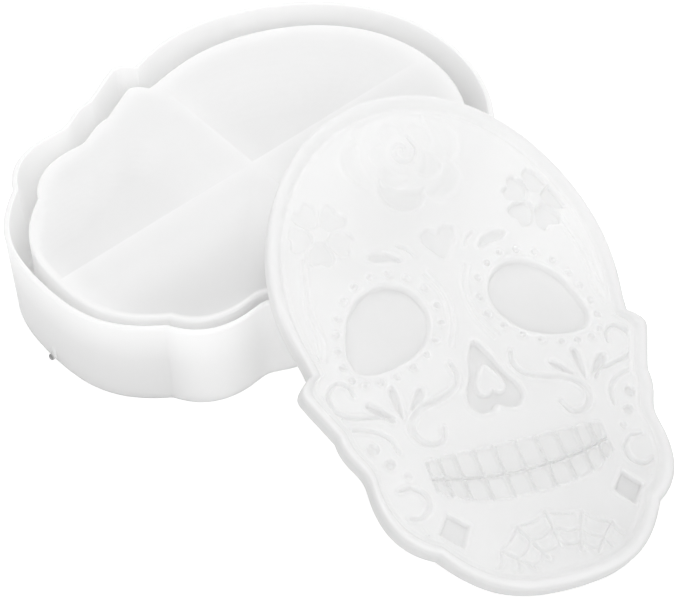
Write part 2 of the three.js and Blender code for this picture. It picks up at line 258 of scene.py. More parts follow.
def skull_plan(count):
    """Closed outline from the crown round by +X, evenly spaced, its corners eased."""
    half = np.vstack([bezier(*segment, CURVE_STEPS) for segment in HALF_PLAN])
    chin = np.array([[0, -HALF_LENGTH]])
    other = half[1:][::-1] * [-1, 1]
    even_ring = resample(np.vstack([half, chin, other]), EVEN_POINTS)
    shifts = np.arange(-EASE_REACH, EASE_REACH + 1)
    spread = np.exp(-0.5 * (shifts * EASE_STEP / EASE) ** 2)
    spread /= spread.sum()
    eased = sum(w * np.roll(even_ring, k, axis=0) for k, w in zip(shifts, spread))
    return resample(eased, count)


def draw_in(plan, inset):
    """The plan drawn in from the side, the jaw, the crown and the chin."""
    side, jaw, crown, chin = inset
    y = plan[:, 1]
    share = np.clip((CHEEK_Y - y) / (CHEEK_Y - WAIST_Y), 0, 1)
    x = plan[:, 0] * (1 - (side + (jaw - side) * share) / HALF_WIDTH)
    return np.stack([x, y * (1 - np.where(y > 0, crown, chin) / HALF_LENGTH)], axis=1)


def plus(*insets):
    """The sum of some insets."""
    return tuple(sum(v) for v in zip(*insets))


def even(width):
    """An inset of one width all round."""
    return (width, width, width, width)


def mix(a, b, t):
    """The inset a share t of the way from a to b."""
    return tuple(u + (v - u) * t for u, v in zip(a, b))


def at_height(points, z):
    """Plan points as points in space."""
    return np.column_stack([points, np.full(len(points), z)])


def link(obj):
    """Puts an object in the scene."""
    bpy.context.scene.collection.objects.link(obj)


def new_object(name, vertices, faces, smooth_angle=SMOOTH_ANGLE):
    """A smooth-shaded mesh object, from vertices in millimetres."""
    mesh = bpy.data.meshes.new(name)
    mesh.from_pydata((np.asarray(vertices) * MM).tolist(), [], faces)
    mesh.update()
    obj = bpy.data.objects.new(name, mesh)
    link(obj)
    mesh.shade_smooth()
    mesh.set_sharp_from_angle(angle=math.radians(smooth_angle))
    return obj


def band_faces(low, n, high, m):
    """Faces between one ring of n points and the next of m points, the same number or half as many."""
    if n == m:
        return [(low + i, high + i, high + (i + 1) % m, low + (i + 1) % n) for i in range(n)]
    faces = []
    for i in range(m):
        a, b, c = low + 2 * i, low + 2 * i + 1, low + (2 * i + 2) % n
        d, e = high + i, high + (i + 1) % m
        faces += [(a, d, b), (b, d, e), (b, e, c)]
    return faces


def loft(name, rings, smooth_angle=SMOOTH_ANGLE):
    """A closed solid from rings, its two ends filled from their middles."""
    sizes = [len(ring) for ring in rings]
    starts = np.concatenate([[0], np.cumsum(sizes)])
    first = rings[0].mean(axis=0)
    last = rings[-1].mean(axis=0)
    vertices = np.vstack([*rings, first, last])
    faces = []
    for k in range(len(rings) - 1):
        faces += band_faces(starts[k], sizes[k], starts[k + 1], sizes[k + 1])
    a = len(vertices) - 2
    faces += [(a, i, (i + 1) % sizes[0]) for i in range(sizes[0])]
    top = starts[-2]
    faces += [(a + 1, top + (i + 1) % sizes[-1], top + i) for i in range(sizes[-1])]
    return new_object(name, vertices, [tuple(int(v) for v in f) for f in faces], smooth_angle)


def shrinking_rings(edge, count):
    """Copies of a ring drawn towards its middle, with fewer points as they get shorter."""
    rings = []
    step = 1
    for t in np.linspace(1, 0, count, endpoint=False)[1:]:
        left = len(edge) // step
        if t * step < THIN_OUT and left % 2 == 0 and left > FEWEST_POINTS:
            step *= 2
        rings.append(edge[::step] * t)
    return rings


def turns(start, end, steps):
    """Angles from start to end, given in degrees and returned in radians."""
    return [math.radians(start + (end - start) * k / steps) for k in range(steps + 1)]


def around(x, y, reach, angle):
    """A point at a reach and an angle from a centre."""
    return (x + reach * math.cos(angle), y + reach * math.sin(angle))


def arc(centre_inset, centre_z, radius, start, end, steps):
    """Insets and heights round a quarter circle, the angle counted from straight out."""
    return [(plus(centre_inset, even(-radius * math.cos(angle))), centre_z + radius * math.sin(angle))
            for angle in turns(start, end, steps)]


def wall_lean(z):
    """How far the wall's inner face leans in at a height."""
    return even(LEAN * (1 - z / BOX_HEIGHT))


def outer_lean(z):
    """How far the wall's outer face leans in at a height."""
    return tuple(v * (1 - z / BOX_HEIGHT) for v in OUTER_LEAN)


def core_lean(z):
    """How far the core's wall leans out at a height."""
    return even(-CORE_LEAN * max(0.0, 1 - z / CORE_UNDER))


def box_profile():
    """Insets and heights from the foot up the wall, over the rim, through the channel and up the core."""
    core = plus(RIM, CHANNEL)
    profile = [(plus(outer_lean(0), even(FOOT)), 0.0)]
    profile += arc(plus(outer_lean(FOOT), even(FOOT)), FOOT, FOOT, -90, 0, 5)[1:]
    profile += [(outer_lean(z), z) for z in OUTER_HEIGHTS]
    profile += arc(even(RIM_OUTER), BOX_HEIGHT - RIM_OUTER, RIM_OUTER, 0, 90, 6)
    for angle in turns(90, 0, 5):
        shift = -RIM_INNER + RIM_INNER * math.cos(angle)
        profile.append((plus(RIM, even(shift)), BOX_HEIGHT - RIM_INNER + RIM_INNER * math.sin(angle)))
    profile += [(plus(RIM, wall_lean(z)), z) for z in INNER_HEIGHTS]
    low = BASE + FILLET
    for angle in turns(0, 90, 5):
        shift = FILLET - FILLET * math.cos(angle)
        profile.append((plus(RIM, wall_lean(low), even(shift)), low - FILLET * math.sin(angle)))
    a = profile[-1][0]
    b = plus(core, core_lean(low), even(-FILLET))
    profile += [(mix(a, b, t), BASE) for t in (0.33, 0.67)]
    for angle in turns(90, 0, 5):
        shift = -FILLET + FILLET * math.cos(angle)
        profile.append((plus(core, core_lean(low), even(shift)), low - FILLET * math.sin(angle)))
    profile += [(plus(core, core_lean(z)), z) for z in CORE_HEIGHTS]
    for angle in turns(0, 90, 7):
        shift = CORE_EDGE - CORE_EDGE * math.cos(angle)
        profile.append((plus(core, even(shift)), CORE_TOP - CORE_EDGE + CORE_EDGE * math.sin(angle)))
    return profile


def box_casting():
    """The box mould as one closed solid, before its underside is hollowed."""
    plan = skull_plan(WALL_POINTS)
    profile = box_profile()
    rings = [at_height(flexed(draw_in(plan, inset), inset, z), z) for inset, z in profile]
    shades = [wall_shade(ring, inset) for ring, (inset, _) in zip(rings, profile)]
    top = rings[-1]
    rings += [np.column_stack([top[:, :2] * t, top[:, 2]]) for t in np.linspace(0.98, 0.02, CORE_TOP_RINGS)]
    obj = loft("box_mould_casting", rings)
    n = len(plan)
    flat = np.vstack([ring[:, :2] for ring in rings[len(shades):]])
    # How far the hollow reaches behind each point of the core's top, which drives the painted shade over the
    # hollow quarters.
    add_layer(obj, "hollow", np.concatenate([np.zeros(len(shades) * n), wall_behind(flat)]))
    add_layer(obj, "wall", np.repeat([1.0 - open_top(inset) for inset, _ in profile], n))
    # Painted shade on the walls.
    add_layer(obj, "shade", np.concatenate(shades))
    return obj


def add_layer(obj, name, values):
    """A number at each vertex, 0 at the vertices past the last value."""
    whole = np.zeros(len(obj.data.vertices), dtype=np.float32)
    whole[:len(values)] = values
    layer = obj.data.attributes.new(name, "FLOAT", "POINT")
    layer.data.foreach_set("value", whole)


def open_top(inset):
    """Rises from 0 to 1 over the rounded edge of the core's top."""
    start = RIM[0] + CHANNEL[0]
    return min(1.0, max(0.0, (inset[0] - start) / CORE_EDGE))


def wall_shade(ring, inset):
    """The wall's painted shade: outside darker low down and lighter on the right, inside darker on the crown's
    left.
    """
    x, y, z = ring.T
    if inset[0] < OUTER_FACE_END:
        share = np.clip((BOX_HEIGHT - OUTER_SHADE_BELOW_RIM - z) / OUTER_SHADE_SPAN, 0, 1)
        left = OUTER_SHADE_TOP + (OUTER_SHADE_LOW - OUTER_SHADE_TOP) * share
        return left + (OUTER_SHADE_RIGHT - left) * np.clip((x - RIGHT_FROM_X) / RIGHT_SPAN, 0, 1)
    if inset[0] < CHANNEL_MIDDLE:
        return INNER_SHADE * np.clip((y - x - INNER_FROM) / INNER_SPAN, 0, 1)
    return np.zeros(len(ring))


def flexed(points, inset, z):
    """The wall bent outwards above its left temple, more so towards the rim, and shifted at its foot."""
    if inset[0] > CHANNEL_MIDDLE:
        return points
    away = np.hypot(points[:, 0] - FLEX_AT[0], points[:, 1] - FLEX_AT[1])
    share = np.exp(-(away / FLEX_WIDTH) ** 2) * (z / BOX_HEIGHT) ** FLEX_POWER
    outwards = share * np.clip((points[:, 1] - TEMPLE_Y) / FLEX_FADE + FLEX_AT_TEMPLE, 0, 1)
    moved = points + np.stack([outwards * FLEX[0], share * FLEX[1]], axis=1)
    if inset[0] < OUTER_FACE_END:
        moved = moved + np.array(FOOT_SHIFT) * max(0.0, 1 - z / CORE_TOP)
    return moved


def hollow_plan():
    """Outline of the core's inner face."""
    return draw_in(skull_plan(HOLLOW_POINTS), plus(RIM, CHANNEL, even(WALL)))


def wall_behind(points):
    """How far the hollow goes on behind each point of the core's top, as a share of the distances tried."""
    inner = hollow_plan()
    back = np.array(BEHIND)
    return sum(is_inside(points + back * reach, inner) / len(BEHIND_REACHES) for reach in BEHIND_REACHES)


def gate_stub(casting):
    """Joins the small round stub low on the chin end of the wall, and paints its end dark with painted shade."""
    angles = [2 * math.pi * k / GATE_STEPS for k in range(GATE_STEPS)]
    rings = []
    for y, radius in ((HALF_LENGTH - GATE_ROOT, GATE_RADIUS),
                      (HALF_LENGTH + GATE_REACH - GATE_BEVEL, GATE_RADIUS),
                      (HALF_LENGTH + GATE_REACH, GATE_RADIUS - GATE_BEVEL)):
        circle = [around(GATE_X, GATE_Z, radius, angle) for angle in angles]
        rings.append(np.array([(x, -y, z) for x, z in circle]))
    cut(casting, loft("gate", rings), "UNION")
    mesh = casting.data
    x, y, z = (np.array([v.co for v in mesh.vertices]) / MM).T
    end = (np.abs(x - GATE_X) < GATE_RADIUS + GATE_SLACK) & (y < -HALF_LENGTH + GATE_END)
    end &= z < GATE_Z + GATE_RADIUS + GATE_SLACK
    for name in ("wall", "shade"):
        layer = mesh.attributes[name]
        values = np.zeros(len(mesh.vertices), dtype=np.float32)
        layer.data.foreach_get("value", values)
        # A dark painted spot where the stub's end sits in shade.
        values[end] = STUB_PAINTED_SHADE
        layer.data.foreach_set("value", values)


def clip(polygon, axis, limit, sign):
    """The part of a polygon on one side of a line of constant x or y."""
    kept = []
    for a, b in zip(polygon, np.roll(polygon, -1, axis=0)):
        inside_a = sign * (a[axis] - limit) >= 0
        inside_b = sign * (b[axis] - limit) >= 0
        if inside_a:
            kept.append(a)
        if inside_a != inside_b:
            kept.append(a + (b - a) * (limit - a[axis]) / (b[axis] - a[axis]))
    return np.array(kept)


def pocket(side, end):
    """The rings of the air space under one quarter of the core."""
    outline = clip(hollow_plan(), 0, side * RIB_HALF, side)
    outline = clip(outline, 1, CROSS_RIB_Y + end * RIB_HALF, end)
    outline = resample(outline, POCKET_POINTS)
    middle = outline.mean(axis=0)
    rings = []
    for z in POCKET_HEIGHTS:
        grow = 1 + POCKET_DRAFT * (1 - z / CORE_UNDER)
        rings.append(at_height(middle + (outline - middle) * grow, z))
    for angle in turns(0, 90, 5)[1:]:
        shrink = 1 - POCKET_SHRINK * (1 - math.cos(angle))
        z = CORE_UNDER - POCKET_ROUND + POCKET_ROUND * math.sin(angle)
        rings.append(at_height(middle + (outline - middle) * shrink, z))
    return rings


def pockets():
    """The four air spaces under the core as one tool."""
    tool = None
    for side, end in ((1, 1), (-1, 1), (1, -1), (-1, -1)):
        one = loft("pocket", pocket(side, end))
        tool = join(tool, one) if tool else one
    return tool


def join(a, b):
    """One object from two that don't touch."""
    mesh = a.data
    vertices = [v.co / MM for v in mesh.vertices] + [v.co / MM for v in b.data.vertices]
    shift = len(mesh.vertices)
    faces = [tuple(f.vertices) for f in mesh.polygons]
    faces += [tuple(v + shift for v in f.vertices) for f in b.data.polygons]
    for old in (a, b):
        bpy.data.objects.remove(old)
    return new_object("pockets", vertices, faces)


def cut(target, tool, operation="DIFFERENCE"):
    """Cuts a tool out of an object, or joins it on, and removes the tool."""
    modifier = target.modifiers.new("cut", "BOOLEAN")
    modifier.operation = operation
    modifier.solver = "EXACT"
    modifier.object = tool
    graph = bpy.context.evaluated_depsgraph_get()
    mesh = bpy.data.meshes.new_from_object(target.evaluated_get(graph))
    target.modifiers.clear()
    target.data = mesh
    bpy.data.objects.remove(tool)


# Relief on the lid mould, drawn in its own plan, x to its right and y to its crown.

def curve_span(a, b, c, d, steps):
    """Points of a smooth line from b on towards c, with a before it and d after it."""
    out = []
    for k in range(steps):
        t = k / steps
        out.append(0.5 * (2 * b + (c - a) * t + (2 * a - 5 * b + 4 * c - d) * t**2
                          + (3 * b - a - 3 * c + d) * t**3))
    return out


def closed_curve(points, per_span=8):
    """A smooth closed line through the points."""
    p = np.array(points, float)
    n = len(p)
    out = []
    for i in range(n):
        out += curve_span(p[i - 1], p[i], p[(i + 1) % n], p[(i + 2) % n], per_span)
    return np.array(out)


def open_curve(points, per_span=8):
    """A smooth open line through the points."""
    p = np.array(points, float)
    p = np.vstack([2 * p[0] - p[1], p, 2 * p[-1] - p[-2]])
    out = []
    for i in range(1, len(p) - 2):
        out += curve_span(p[i - 1], p[i], p[i + 1], p[i + 2], per_span)
    out.append(p[-2])
    return np.array(out)


def segment_distance(q, a, b):
    """Distance from each point of q to each segment, and how far along it the nearest place is."""
    ab = b - a
    length = np.maximum((ab**2).sum(axis=1), TINY)
    t = np.clip(((q[:, None, :] - a) * ab).sum(axis=2) / length, 0, 1)
    gap = q[:, None, :] - (a + t[:, :, None] * ab)
    return np.hypot(gap[:, :, 0], gap[:, :, 1]), t


def is_inside(q, polygon):
    """Which points of q lie inside a polygon."""
    a = polygon
    b = np.roll(polygon, -1, axis=0)
    crosses = (a[:, 1] > q[:, None, 1]) != (b[:, 1] > q[:, None, 1])
    rise = np.where(b[:, 1] == a[:, 1], TINY, b[:, 1] - a[:, 1])
    at = a[:, 0] + (q[:, None, 1] - a[:, 1]) * (b[:, 0] - a[:, 0]) / rise
    return (crosses & (q[:, None, 0] < at)).sum(axis=1) % 2 == 1


def region_distance(q, polygon):
    """Signed distance to a polygon's edge, negative inside."""
    gap, _ = segment_distance(q, polygon, np.roll(polygon, -1, axis=0))
    gap = gap.min(axis=1)
    return np.where(is_inside(q, polygon), -gap, gap)


def line_distance(q, line, half, taper=True):
    """Distance to the edge of a stroke that thins towards its ends."""
    gap, t = segment_distance(q, line[:-1], line[1:])
    best = gap.argmin(axis=1)
    rows = np.arange(len(q))
    along = (best + t[rows, best]) / (len(line) - 1)
    width = half * (STROKE_END + STROKE_SWELL * np.sin(np.pi * along)) if taper else half
    return gap[rows, best] - width


class Relief:
    """Collects recesses and raised edges over a set of points."""

    def __init__(self, points):
        self.points = points
        self.sunk = np.zeros(len(points))
        self.raised = np.zeros(len(points))

    def near(self, outline, reach=0.0):
        """The points that lie near an outline."""
        low = outline.min(axis=0) - (reach + RELIEF_MARGIN)
        high = outline.max(axis=0) + (reach + RELIEF_MARGIN)
        return np.nonzero(((self.points > low) & (self.points < high)).all(axis=1))[0]

    def lay(self, index, distance, depth, ramp, lip, lip_width):
        """Sinks the points inside an edge, over a soft ramp, and raises a lip just outside it."""
        step = np.clip(0.5 - distance / ramp, 0, 1)
        step = step * step * (3 - 2 * step)
        self.sunk[index] = np.maximum(self.sunk[index], depth * step)
        edge = np.exp(-((distance - lip_width * LIP_PLACE) / (lip_width * LIP_SPREAD)) ** 2)
        self.raised[index] = np.maximum(self.raised[index], lip * edge)

    def both(self, outline, mirror):
        """The outline, and its mirror image where asked."""
        yield outline
        if mirror:
            yield outline * [-1, 1]

    def region(self, outline, depth=1.2, ramp=0.8, lip=0.25, lip_width=0.9, mirror=True, island=None):
        """A recess with a closed outline, round an island if there is one."""
        for one in self.both(outline, mirror):
            index = self.near(one)
            distance = region_distance(self.points[index], one)
            if island is not None:
                distance = np.maximum(distance, -region_distance(self.points[index], island))
            self.lay(index, distance, depth, ramp, lip, lip_width)

    def ridge(self, points, half=0.4, height=0.35, mirror=True):
        """A raised line with rounded sides."""
        for one in self.both(open_curve(points), mirror):
            index = self.near(one, half)
            distance = line_distance(self.points[index], one, 0.0, False)
            lift = height * np.exp(-((distance / half) ** 2))
            self.raised[index] = np.maximum(self.raised[index], lift)

    def line(self, points, half=0.5, depth=0.8, ramp=0.7, lip=0.2, lip_width=0.7, mirror=True, taper=True):
        """A sunk stroke."""
        for one in self.both(open_curve(points), mirror):
            index = self.near(one, half)
            self.lay(index, line_distance(self.points[index], one, half, taper), depth, ramp, lip, lip_width)

    def dot(self, x, y, radius, depth=0.7, ramp=0.6, lip=0.2, lip_width=0.6):
        """A round recess and its mirror image."""
        for centre in self.both(np.array([[x, y]]), True):
            index = self.near(centre, radius)
            distance = np.hypot(*(self.points[index] - centre).T) - radius
            self.lay(index, distance, depth, ramp, lip, lip_width)


EYE = [(10.2, 8.5), (11.5, 13.5), (14.6, 17.3), (19.6, 19.2), (25, 18.5), (30, 15.8), (34.2, 11), (37.2, 3.8),
       (37.9, -1), (36, -5), (30.4, -6), (22.6, -4.6), (16, -1.5), (11.8, 3.4)]
EYE_DOTS = [(18, 22.4), (23.5, 22.3), (29, 20.5), (33.5, 16.9), (37, 12), (39, 7.5), (40.3, 2.3), (40.6, -2.5),
            (39.3, -6.8), (36, -8.8), (31.3, -9), (26.3, -8.3), (20.5, -6.5), (15.3, -3.8), (11, 0), (7.4, 4.6),
            (6.8, 10.2), (8.6, 16), (13, 20)]
NOSE = [(0, -3), (3, -7), (5.2, -13), (8, -18), (8.1, -21.7), (5.9, -24.1), (2.8, -24), (0, -22.5),
        (-2.8, -24), (-5.9, -24.1), (-8.1, -21.7), (-8, -18), (-5.2, -13), (-3, -7)]
NOSE_ISLAND = [(0, -9.6), (2.2, -11.6), (4.5, -16), (3.8, -18.8), (1.6, -19.3), (0, -18.4), (-1.6, -19.3),
               (-3.8, -18.8), (-4.5, -16), (-2.2, -11.6)]
HEART = [(0.9, 24.2), (3.9, 26.8), (6.8, 30.2), (6.6, 33.2), (3.4, 33.8), (1.3, 32.2), (-0.9, 33.6),
         (-3.6, 32.8), (-4, 29.8), (-1.8, 26.8)]
BROW = [(12.6, 25.5), (15.2, 28.2), (18.7, 29.2), (22, 28.6), (20.4, 27), (16, 26.2)]
# A flower's petal, from the flower's middle outwards, and the two flowers: place, turn and depth.
PETAL = [(2.7, -1.4), (5.0, -3.2), (7.6, -4.0), (9.8, -2.6), (9.0, 0), (9.8, 2.6), (7.6, 4.0), (5.0, 3.2),
         (2.7, 1.4)]
FLOWERS = [(35.4, 37.0, 69, 1.5), (-33.9, 38.0, 111, 0.55)]
FLOWER_HEART = 2.1
LOZENGE = [(31.4, -55.6), (27.3, -50.6), (22.8, -55.2), (26.7, -60.6)]
# Teeth: their sides from the middle outwards, then each edge's height, its rise at the last tooth and its power.
TOOTH_SIDES = [0, 6.6, 12.9, 18.9, 23.7, 27.5]
TOOTH_ROWS = [(-34.0, 0.3, 2), (-43.4, 3.6, 2), (-50.8, 6.4, 3)]
TOOTH_GAP = 0.75
TOOTH_CORNER = 2.2 * TOOTH_GAP
# Web under the chin: its hub, each spoke's angle and start, and each row's reach and number of spokes.
WEB_HUB = (0.0, -80.0)
WEB_SPOKES = [(90, 13), (64.5, 11.5), (42.5, 13), (26, 17)]
WEB_MIDDLE = 18
WEB_END = 23.4
WEB_ROWS = [(23.2, 4), (18.2, 4), (14.0, 3)]
WEB_SAG = 1.1
# Each petal of the rose: the angles it spans, its inner and outer reach, and how deep it is.
ROSE_CENTRE = (-1.0, 57.5)
ROSE_PETALS = [
    (-146, -76, 11.5, 17.6, 0.85),
    (-76, -14, 13.5, 18.0, 0.35),
    (-16, 44, 14.5, 18.5, 0.3),
    (42, 100, 13.0, 16.5, 0.25),
    (98, 156, 13.5, 17.0, 0.3),
    (154, 212, 14.0, 19.0, 0.45),
    (-66, 2, 6.6, 11.8, 0.55),
    (0, 70, 7.5, 12.0, 0.3),
    (68, 140, 6.0, 10.5, 0.3),
    (138, 200, 7.0, 10.5, 0.25),
    (196, 262, 7.0, 11.5, 0.4),
]
ROSE_STEPS = 24
ROSE_SWELL = 0.6
ROSE_EDGE = 1.05
SWIRL_RISE = 1.5
SWIRL_START = 0.8
SWIRL_GROWTH = 0.55
SWIRL_TURN = 0.9


def teardrop(tip, end, width):
    """A leaf outline, pointed at its tip and round at its end."""
    tip, end = np.array(tip, float), np.array(end, float)
    along = end - tip
    length = np.hypot(*along)
    along /= length
    across = np.array([-along[1], along[0]])
    out = []
    for k in range(40):
        a = 2 * math.pi * k / 40
        t = (1 - math.cos(a)) / 2
        out.append(tip + along * length * t + across * width / 2 * math.sin(a) * math.sin(a / 2) ** 1.4)
    return np.array(out)


def eye_socket(relief):
    """An eye hollow, its ring of dots and two raised arcs beside it."""
    relief.region(closed_curve(EYE), depth=1.7, ramp=0.8, lip=0.35, lip_width=1.1)
    for x, y in EYE_DOTS:
        relief.dot(x, y, 0.7, depth=0.6, lip=0.3, lip_width=0.6)
    relief.ridge([(5.8, 21), (3.2, 16), (2.3, 10), (3.2, 4), (6.4, -3)], half=0.5, height=0.45)
    relief.ridge([(7.6, 20), (4.9, 15), (4.1, 9.5), (5.2, 3.4), (8.2, -2)], half=0.5, height=0.45)


def nose(relief):
    """The nose with its raised middle."""
    relief.region(closed_curve(NOSE), depth=1.4, ramp=0.7, lip=0.35, lip_width=0.9, mirror=False,
                  island=closed_curve(NOSE_ISLAND))


def forehead(relief):
    """The heart between the brows, and the brows."""
    relief.region(closed_curve(HEART), depth=0.8, ramp=0.9, lip=0.15, mirror=False)
    relief.region(closed_curve(BROW), depth=1.0, ramp=0.7)
    relief.line([(8.3, 26.5), (9.6, 28.7), (12.2, 30.3)], half=0.35, depth=0.5)


def flower(relief, x, y, turn, depth):
    """Five notched petals round a raised round."""
    for k in range(5):
        angle = math.radians(turn + 72 * k)
        out = np.array([math.cos(angle), math.sin(angle)])
        side = np.array([-out[1], out[0]])
        petal = [np.array([x, y]) + out * r + side * w for r, w in PETAL]
        relief.region(closed_curve(petal, 5), depth=depth, ramp=0.7, lip=0.1, mirror=False)
    ring = [around(x, y, FLOWER_HEART, angle) for angle in np.linspace(0, 2 * math.pi, 13)]
    relief.ridge(ring, half=0.9, height=0.3, mirror=False)


def stems(relief):
    """Two raised stems down each temple."""
    for stem in ([(39.6, 33), (41.2, 27), (42.8, 20.5), (43.4, 13), (43, 6), (44.6, 0.6)],
                 [(41.6, 31), (43.6, 24), (45.4, 17), (45.4, 9), (46.6, 0.2)]):
        relief.ridge(stem, half=0.5, height=0.45)


def cheek(relief):
    """The cheek's scrolls, leaves and dots."""
    relief.line([(40.4, -11.2), (41.2, -8.2), (44.3, -6.9), (47.5, -9.8), (47.5, -13.9), (44.3, -17),
                 (39.1, -18.3), (34.8, -19.1), (32, -21.2)], half=0.45, depth=0.7, lip=0.35)
    relief.line([(48.7, -20.4), (42.8, -21.3), (37.9, -23), (34.8, -26), (33.9, -30.4)], half=0.45, depth=0.6,
                lip=0.3)
    relief.line([(9.6, -8), (8.9, -11.8), (11.3, -15.4), (16.5, -17.5), (22.6, -19.1), (26.3, -21.7),
                 (27.8, -24.9), (26.5, -28.3), (23.5, -30.2), (20.2, -29.6), (18.4, -26.2)], half=0.65,
                depth=0.55, ramp=0.8, lip=0.4)
    relief.region(teardrop((29, -20.6), (28.9, -11), 2.8), depth=1.2)
    relief.region(teardrop((31.4, -20.2), (37.6, -14.8), 3.1), depth=1.2)
    relief.region(teardrop((25.4, -18.8), (20.2, -13.4), 2.5), depth=1.0)
    relief.dot(40.6, -27.6, 1.5, depth=0.9)
    relief.dot(37.5, -33, 1.3, depth=0.9)
    relief.dot(33.9, -37.4, 0.8, depth=0.4)


def jaw(relief):
    """The jaw's scroll, lozenge and short raised line."""
    relief.line([(37.8, -41), (34.1, -41.1), (31.3, -43.9), (31.5, -47.6), (34.6, -50), (38, -49.4)], half=0.45,
                depth=0.6, lip=0.35)
    relief.region(np.array(LOZENGE), depth=1.4, ramp=0.6, lip=0.3)
    relief.ridge([(35.6, -52.4), (34.4, -56), (31.8, -60.8)], half=0.5)


def tooth(relief, left, right, corners):
    """One tooth as a shallow rounded recess with a raised edge, from its four corners."""
    (low_left, low_right), (high_left, high_right) = corners
    points = [
        (left + TOOTH_GAP, low_left + 2 * TOOTH_GAP),
        (left + TOOTH_CORNER, (low_left * 3 + low_right) / 4 + TOOTH_GAP),
        (right - TOOTH_CORNER, (low_left + low_right * 3) / 4 + TOOTH_GAP),
        (right - TOOTH_GAP, low_right + 2 * TOOTH_GAP),
        (right - TOOTH_GAP, high_right - 2 * TOOTH_GAP),
        (right - TOOTH_CORNER, (high_left + high_right * 3) / 4 - TOOTH_GAP),
        (left + TOOTH_CORNER, (high_left * 3 + high_right) / 4 - TOOTH_GAP),
        (left + TOOTH_GAP, high_left - 2 * TOOTH_GAP),
    ]
    relief.region(closed_curve(points, 4), depth=0.35, ramp=0.5, lip=0.5, lip_width=0.5)


def tooth_row(relief):
    """Two rows of teeth with the bite between them and a fine line at each tooth's side."""
    end = TOOTH_SIDES[-1]
    top, bite, bottom = ([y + rise * (x / end) ** power for x in TOOTH_SIDES] for y, rise, power in TOOTH_ROWS)
    for k in range(len(TOOTH_SIDES) - 1):
        left, right = TOOTH_SIDES[k], TOOTH_SIDES[k + 1]
        tooth(relief, left, right, ((bite[k], bite[k + 1]), (top[k], top[k + 1])))
        tooth(relief, left, right, ((bottom[k], bottom[k + 1]), (bite[k], bite[k + 1])))
    relief.line(list(zip(TOOTH_SIDES, bite)), half=0.3, depth=0.7, ramp=0.5, lip=0, taper=False)
    for x, high, middle, low in zip(TOOTH_SIDES, top, bite, bottom):
        relief.line([(x, high - 0.8), (x, middle), (x, low + 0.8)], half=0.2, depth=0.6, ramp=0.5, lip=0,
                    mirror=x > 0, taper=False)


def chin_web(relief):
    """Spokes that meet under the chin, and three rows of threads that sag between them."""
    def at(angle, reach):
        return around(*WEB_HUB, reach, math.radians(angle))

    for angle, start in WEB_SPOKES:
        spoke = [at(angle, start), at(angle, WEB_MIDDLE), at(angle, WEB_END)]
        relief.line(spoke, half=0.15, depth=0.45, ramp=0.6, lip=0.35, lip_width=0.7, mirror=angle < 90,
                    taper=False)
    for reach, last in WEB_ROWS:
        for (a, _), (b, _) in zip(WEB_SPOKES[:last - 1], WEB_SPOKES[1:last]):
            thread = [at(a, reach), at((a + b) / 2, reach - WEB_SAG), at(b, reach)]
            relief.line(thread, half=0.12, depth=0.4, ramp=0.6, lip=0.35, lip_width=0.7, taper=False)


def rose(relief):
    """Soft overlapping petals, each with a raised outer edge, round a sunk swirl."""
    cx, cy = ROSE_CENTRE
    for start, end, inner, outer, depth in ROSE_PETALS:
        angles = np.radians(np.linspace(start, end, ROSE_STEPS))
        swell = np.sin(np.linspace(0, math.pi, ROSE_STEPS)) ** ROSE_SWELL
        near = np.column_stack([inner * np.cos(angles), inner * np.sin(angles)])
        far = near * ((inner + (outer - inner) * swell) / inner)[:, None]
        petal = np.vstack([near, far[::-1][1:-1]]) + (cx, cy)
        relief.region(petal, depth=depth, ramp=2.0, lip=0.0, lip_width=1.2, mirror=False)
        relief.ridge(far[::3] * ROSE_EDGE + (cx, cy), half=0.7, height=0.22, mirror=False)
    swirl = [around(cx, cy + SWIRL_RISE, SWIRL_START + SWIRL_GROWTH * k, SWIRL_TURN * k) for k in range(9)]
    relief.line(swirl, half=0.5, depth=0.5, ramp=1.0, mirror=False)


def relief_height(points):
    """How high the relief stands at each point, and how deep its recesses are."""
    relief = Relief(points)
    eye_socket(relief)
    nose(relief)
    forehead(relief)
    for place in FLOWERS:
        flower(relief, *place)
    stems(relief)
    cheek(relief)
    jaw(relief)
    tooth_row(relief)
    chin_web(relief)
    rose(relief)
    fade = np.clip(1 - relief.sunk / RELIEF_FADE, 0, 1)
    return relief.raised * fade - relief.sunk, relief.sunk


def lid_profile():
    """Insets and heights from the underside's edge round the rim to the floor's edge."""
    out = [(plus(LID_OUTER, even(LID_FOOT)), 0.0)]
    out += arc(plus(LID_OUTER, even(LID_FOOT)), LID_FOOT, LID_FOOT, -90, 0, 5)[1:]
    out += [(LID_OUTER, z) for z in LID_SIDE_HEIGHTS]
    out += arc(plus(LID_OUTER, even(LID_CREST)), LID_HEIGHT - LID_CREST, LID_CREST, 0, 90, 7)
    out += [(plus(LID_OUTER, even(w)), LID_HEIGHT + z) for w, z in LID_CREST_ROWS]
    out += [(plus(LID_OUTER, even(w)), LID_FLOOR + z) for w, z in LID_FLOOR_ROWS]
    return out


def lid_casting():
    """The lid mould as one closed solid with its relief, and painted shade that deepens with the relief."""
    coarse = 1
    n = LID_POINTS // coarse
    plan = skull_plan(n)
    profile = lid_profile()
    rings = [at_height(draw_in(plan, profile[0][0]) * t, 0.0) for t in LID_UNDER_RINGS]
    rings += [at_height(draw_in(plan, inset), z) for inset, z in profile]
    floor_rings = shrinking_rings(rings[-1][:, :2], LID_RINGS // coarse)
    height, sunk = relief_height(np.vstack(floor_rings) - [RELIEF_X, 0])
    start = 0
    for ring in floor_rings:
        rings.append(np.column_stack([ring, LID_FLOOR + height[start:start + len(ring)]]))
        start += len(ring)
    for ring in rings:
        ring[:, 2] += LID_SAG * (ring[:, 1] / HALF_LENGTH) ** 2
    obj = loft("lid_mould_casting", rings, LID_SMOOTH_ANGLE)
    add_layer(obj, "shade", lid_shades(rings, profile, sunk))
    obj.data.transform(lid_matrix())
    return obj


